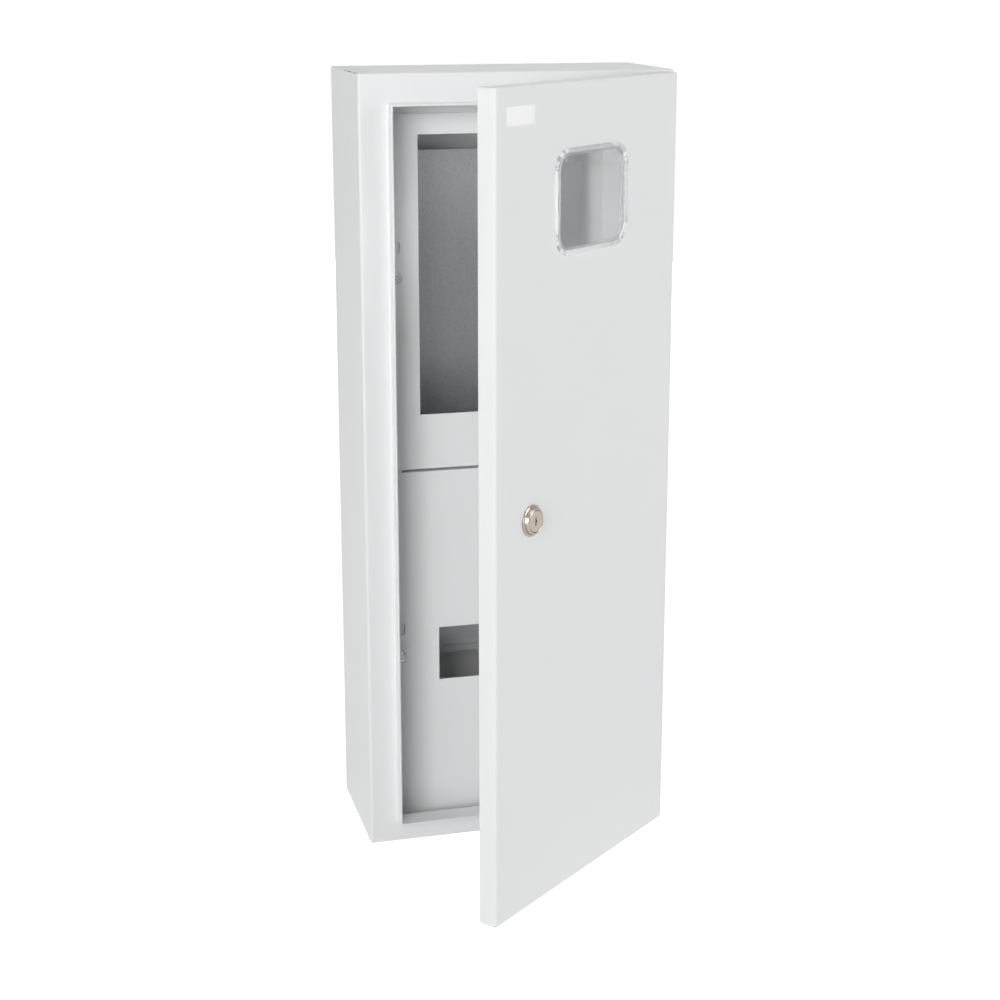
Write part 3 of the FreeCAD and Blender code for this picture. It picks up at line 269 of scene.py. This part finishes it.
def rail_steel():
    made = Surface("rail_coat", Metallic=0.55)
    made.colour(made.noise(500, 3, (0.2, 1, 1)), (0.56, 0.58, 0.59), (0.66, 0.68, 0.69))
    made.roughness(made.noise(420, 4, (0.2, 1, 1)), 0.28, 0.38)
    made.bump(made.noise(1200, 3, (0.1, 1, 1)), 0.00002, 0.5, rounded=0.0004)
    return made.material


def bright_screw():
    made = Surface("bright_screw", Metallic=1.0)
    made.colour(made.noise(300, 3), (0.58, 0.605, 0.62), (0.68, 0.705, 0.72))
    made.roughness(made.noise(700, 3), 0.10, 0.18)
    made.bump(made.noise(1200, 3), 0.00001, 0.4, rounded=0.0016)
    return made.material


def nickel():
    made = Surface("nickel_plate", Metallic=1.0)
    # Partly painted reflection: the warm tint is the plating's own, but its darkness stands in for the
    # dark surroundings that the lock reflects, since mirror rays here see a white world.
    made.colour(made.noise(150, 3), (0.345, 0.300, 0.262), (0.405, 0.356, 0.314))
    made.roughness(made.noise(500, 4), 0.10, 0.17)
    made.bump(made.noise(900, 4), 0.000012, 0.5, rounded=0.00025)
    return made.material


def brass():
    made = Surface("brass_bar", Metallic=1.0)
    made.colour(made.noise(90, 4), (0.70, 0.50, 0.22), (0.80, 0.60, 0.30))
    made.roughness(made.noise(700, 4, (0.1, 1, 1)), 0.24, 0.38)
    made.bump(made.noise(1600, 3, (0.05, 1, 1)), 0.00002, 0.6, rounded=0.0003)
    return made.material


def blue_plastic():
    made = Surface("blue_plastic", Metallic=0.0)
    made.colour(made.noise(60, 3), (0.045, 0.13, 0.40), (0.055, 0.15, 0.44))
    made.roughness(made.noise(500, 4), 0.38, 0.5)
    made.bump(made.noise(1400, 4), 0.00002, 0.6, rounded=0.0003)
    return made.material


def clear_plastic():
    made = Surface("clear_pane", Metallic=0.0, IOR=1.49, Transmission_Weight=1.0)
    made.colour(made.noise(30, 2), (0.955, 0.962, 0.962), (0.965, 0.972, 0.972))
    made.roughness(made.noise(120, 3), 0.015, 0.035)
    made.bump(made.noise(28, 2), 0.00012, 0.25)
    made.clear_shadow()
    return made.material


def clear_rim():
    """The pane's moulded edge: cloudier than its flat middle."""
    made = Surface("clear_rim", Metallic=0.0, IOR=1.30, Transmission_Weight=0.72, Specular_IOR_Level=0.5)
    made.colour(made.noise(60, 2), (0.690, 0.700, 0.710), (0.730, 0.740, 0.750))
    made.roughness(made.noise(120, 3), 0.06, 0.12)
    made.bump(made.noise(60, 2), 0.00005, 0.3, rounded=0.0004)
    made.clear_shadow()
    return made.material


def foam():
    made = Surface("foam_strip", Metallic=0.0, Specular_IOR_Level=0.2)
    made.colour(made.noise(700, 4), (0.020, 0.020, 0.021), (0.042, 0.042, 0.044))
    made.roughness(made.noise(900, 4), 0.75, 0.95)
    made.bump(made.cells(1500), 0.00018, 0.8)
    return made.material


def label_film():
    made = Surface("label_film", Metallic=0.0, Specular_IOR_Level=1.0, Coat_Weight=0.5)
    made.colour(made.noise(40, 3), (0.970, 0.972, 0.974), (0.985, 0.987, 0.989))
    made.roughness(made.noise(300, 3), 0.36, 0.44)
    made.bump(made.noise(60, 2), 0.00002, 0.15)
    return made.material


MATERIALS = {
    "painted_steel": painted_steel().material, "zinc_steel": zinc_steel(), "nickel": nickel(),
    "brass": brass(), "blue_plastic": blue_plastic(), "clear_plastic": clear_plastic(),
    "foam": foam(), "label_film": label_film()}
CLEAR_RIM = clear_rim()
# Painted light: the two panels sit deep in the box, so they get a lighter copy of the powder coat that
# stands in for light they lack.
LIT_PANEL_PAINT = painted_steel("lit_panel_paint", 0.04).material
OWN_PAINT = {
    "enclosure_body": shell_paint(), "door_pan": door_paint(), "panel_screws": bright_screw(),
    "upper_panel": LIT_PANEL_PAINT, "lower_panel": LIT_PANEL_PAINT, "din_rail": rail_steel()}


def dress_nodes():
    """Each carried-over solid takes the material of its slot."""
    for row in frame["record"]["subparts"]:
        mesh = nodes[row["node"]].data
        mesh.materials.clear()
        mesh.materials.append(OWN_PAINT.get(row["node"], MATERIALS[row["material_slot"]]))
    cloud_rim(nodes["window_pane"])


def cloud_rim(pane):
    """The pane's rim and skirt take the cloudier material; its dished middle stays clear."""
    mesh = pane.data
    mesh.materials.append(CLEAR_RIM)
    for polygon in mesh.polygons:
        corners = [pane.matrix_world @ mesh.vertices[index].co for index in polygon.vertices]
        spots = [to_closed(corner) for corner in corners]
        inside = all(abs(spot.x) < PANE_HALF_X and abs(spot.z - PANE_Z) < PANE_HALF_Z for spot in spots)
        polygon.material_index = 0 if inside else 1


# Pieces


def piece(name, body, material, vertices, faces, smooth=False):
    mesh = bpy.data.meshes.new(name)
    mesh.from_pydata([tuple(v) for v in vertices], [], faces)
    mesh.validate()
    mesh.update()
    for polygon in mesh.polygons:
        polygon.use_smooth = smooth
    made = bpy.data.objects.new(name, mesh)
    bpy.context.scene.collection.objects.link(made)
    mesh.materials.append(material)
    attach(made, body)
    return made


def swept_ring(path, section):
    """Closed tube: path gives frames (point, outwards, along the thickness), section points (a, b)."""
    vertices, faces = [], []
    for point, side, up in path:
        for a, b in section:
            vertices.append(point + side * a + up * b)
    rows, count = len(path), len(section)
    for row in range(rows):
        for col in range(count):
            first, second = row * count + col, row * count + (col + 1) % count
            after = ((row + 1) % rows) * count
            faces.append((first, second, after + (col + 1) % count, after + col))
    return vertices, faces


def rounded_path(half_x, low, high, radius, steps):
    """Points and outward directions round a rectangle with round corners, in X and Z."""
    spots = []
    centres = ((half_x - radius, high - radius, 0), (-half_x + radius, high - radius, 90),
               (-half_x + radius, low + radius, 180), (half_x - radius, low + radius, 270))
    for x, z, start in centres:
        for step in range(steps + 1):
            turn = math.radians(start + 90 * step / steps)
            out_x, out_z = math.cos(turn), math.sin(turn)
            spots.append((x + radius * out_x, z + radius * out_z, out_x, out_z))
    return spots


def foam_bead():
    """The foamed seal inside the door: a soft rounded bead that follows the solid ring."""
    low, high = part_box("door_gasket")
    half = SEAL_WIDTH / 2
    corners = rounded_path(SEAL_HALF_X, low.z / MM + half, high.z / MM - half, SEAL_CORNER, 6)
    dense = []
    for index, spot in enumerate(corners):
        after = corners[(index + 1) % len(corners)]
        length = math.hypot(after[0] - spot[0], after[1] - spot[1])
        count = max(1, int(length / SEAL_SPACING))
        for step in range(count):
            share = step / count
            dense.append(tuple(a + (b - a) * share for a, b in zip(spot, after)))
    rotation = Matrix.Rotation(DOOR_OPEN, 3, "Z")
    random.seed(7)
    path = []
    for x, z, out_x, out_z in dense:
        swell = 1 + random.uniform(-0.025, 0.0)
        side = rotation @ Vector((out_x, 0, out_z)).normalized() * swell
        path.append((on_door(x, SEAL_BACK, z), side * MM, rotation @ Vector((0, swell, 0)) * MM))
    section = []
    for step in range(13):
        turn = math.pi * step / 12
        section.append((half * math.cos(turn), SEAL_RISE * math.sin(turn) ** 0.7))
    vertices, faces = swept_ring(path, section)
    made = piece("foam_bead", "door", MATERIALS["foam"], vertices, faces, smooth=True)
    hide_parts("door_gasket")


def lathe(name, node, body, slot, axis, runs, steps=72):
    """A turned piece; runs are smooth stretches of (radius, Y) on the closed door."""
    vertices, faces = [], []
    for run in runs:
        first = len(vertices)
        for radius, y in run:
            for step in range(steps):
                turn = 2 * math.pi * step / steps
                x, z = axis[0] + radius * math.cos(turn), axis[1] + radius * math.sin(turn)
                vertices.append(on_door(x, y, z))
        for row in range(len(run) - 1):
            for step in range(steps):
                here, there = first + row * steps, first + (row + 1) * steps
                after = (step + 1) % steps
                faces.append((here + step, here + after, there + after, there + step))
    made = piece(name, body, MATERIALS[slot], vertices, faces, smooth=True)
    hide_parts(node)


def lock_rose():
    """The turned housing: a thin flange, a groove and a steep rounded flank up to a flat face."""
    flange = [(12.5, -136.4), (12.5, -137.1), (12.42, -137.32), (12.2, -137.5), (11.7, -137.62)]
    groove = [(11.7, -137.62), (11.35, -137.45), (11.15, -137.5), (11.0, -137.8)]
    flank = [(11.0, -137.8), (10.8, -138.6), (10.5, -139.6), (10.25, -140.2), (9.95, -140.62),
             (9.6, -140.86), (9.3, -140.97)]
    face = [(9.3, -140.97), (8.95, -140.95), (8.7, -140.7), (8.45, -140.3), (8.3, -139.9)]
    outline = [(6.05, -113.4), (9.0, -113.4), (9.0, -136.4), (12.5, -136.4)]
    bore = [(8.3, -139.9), (8.3, -137.0), (6.05, -137.0), (6.05, -113.4)]
    straight = [list(pair) for line in (outline, bore) for pair in zip(line, line[1:])]
    lathe("lock_rose", "lock_housing", "door", "nickel", LOCK_AXIS,
          [flange, groove, flank, face, *straight])


dress_nodes()
foam_bead()
lock_rose()


# Studio

MIDDLE = Vector((0.0, -0.15, 0.0))
LAMP_SIZE = 1.5
LAMPS = (
    ("front_light", (-1.7, -2.65, 0.85), 46), ("right_light", (2.7, -1.56, 0.85), 39),
    ("low_left_light", (-2.4, -2.2, -0.2), 25), ("left_light", (-3.0, -0.3, 0.5), 4),
    ("top_light", (0.1, -0.5, 2.4), 10), ("back_light", (1.2, 3.0, -0.3), 60))


def white_for_camera(tree):
    """1 for camera, mirror and clear-pane rays, 0 for the rays that light the object."""
    path = tree.nodes.new("ShaderNodeLightPath")
    seen = path.outputs["Is Camera Ray"]
    for kind in ("Is Transmission Ray", "Is Glossy Ray"):
        either = tree.nodes.new("ShaderNodeMath")
        either.operation = "MAXIMUM"
        tree.links.new(seen, either.inputs[0])
        tree.links.new(path.outputs[kind], either.inputs[1])
        seen = either.outputs[0]
    return seen


def studio_world(strength):
    world = bpy.data.worlds.new("studio")
    bpy.context.scene.world = world
    world.use_nodes = True
    tree = world.node_tree
    ambient = tree.nodes["Background"]
    ambient.inputs["Color"].default_value = (1.0, 1.0, 1.0, 1)
    ambient.inputs["Strength"].default_value = strength
    white = tree.nodes.new("ShaderNodeBackground")
    white.inputs["Color"].default_value = (1, 1, 1, 1)
    white.inputs["Strength"].default_value = 1.0
    mix = tree.nodes.new("ShaderNodeMixShader")
    tree.links.new(white_for_camera(tree), mix.inputs["Fac"])
    tree.links.new(ambient.outputs["Background"], mix.inputs[1])
    tree.links.new(white.outputs["Background"], mix.inputs[2])
    tree.links.new(mix.outputs["Shader"], tree.nodes["World Output"].inputs["Surface"])


def studio_floor(level):
    """A pale floor that stays white round the object and keeps its shadow."""
    mesh = bpy.data.meshes.new("studio_floor")
    half = 6.0
    corners = [(x * half, y * half, level) for x, y in ((-1, -1), (1, -1), (1, 1), (-1, 1))]
    mesh.from_pydata(corners, [], [(0, 1, 2, 3)])
    floor = bpy.data.objects.new("studio_floor", mesh)
    bpy.context.scene.collection.objects.link(floor)
    material = bpy.data.materials.new("studio_floor")
    material.use_nodes = True
    tree = material.node_tree
    shader = tree.nodes["Principled BSDF"]
    shader.inputs["Base Color"].default_value = (0.82, 0.82, 0.82, 1)
    shader.inputs["Roughness"].default_value = 0.9
    shader.inputs["Specular IOR Level"].default_value = 0.0
    shader.inputs["Emission Color"].default_value = (1, 1, 1, 1)
    glow = tree.nodes.new("ShaderNodeMath")
    glow.operation = "MULTIPLY"
    glow.inputs[1].default_value = 0.88
    tree.links.new(white_for_camera(tree), glow.inputs[0])
    tree.links.new(glow.outputs[0], shader.inputs["Emission Strength"])
    mesh.materials.append(material)


def lamp(name, place, power):
    """A white area lamp that is aimed at the middle of the object."""
    light = bpy.data.lights.new(name, "AREA")
    light.shape = "RECTANGLE"
    light.size = light.size_y = LAMP_SIZE
    light.energy = power
    made = bpy.data.objects.new(name, light)
    bpy.context.scene.collection.objects.link(made)
    made.location = place
    made.rotation_euler = (MIDDLE - Vector(place)).to_track_quat("-Z", "Y").to_euler()


def photo_camera():
    """The photograph's view, seen from the left and above."""
    camera = bpy.data.cameras.new("photo_camera")
    camera.lens = 69.069
    camera.sensor_width = 36.0
    camera.sensor_fit = "HORIZONTAL"
    camera.shift_x = 0.0
    camera.shift_y = -0.04
    camera.clip_start, camera.clip_end = 0.05, 50.0
    made = bpy.data.objects.new("photo_camera", camera)
    bpy.context.scene.collection.objects.link(made)
    made.location = (-0.40838, -1.61412, 0.40565)
    made.rotation_euler = (math.radians(90 - 14.4334), 0, math.radians(-14.7365))
    bpy.context.scene.camera = made


studio_world(0.15)
studio_floor(-0.3253)
for name, place, power in LAMPS:
    lamp(name, place, power)
photo_camera()

bpy.context.scene.view_settings.view_transform = "Standard"
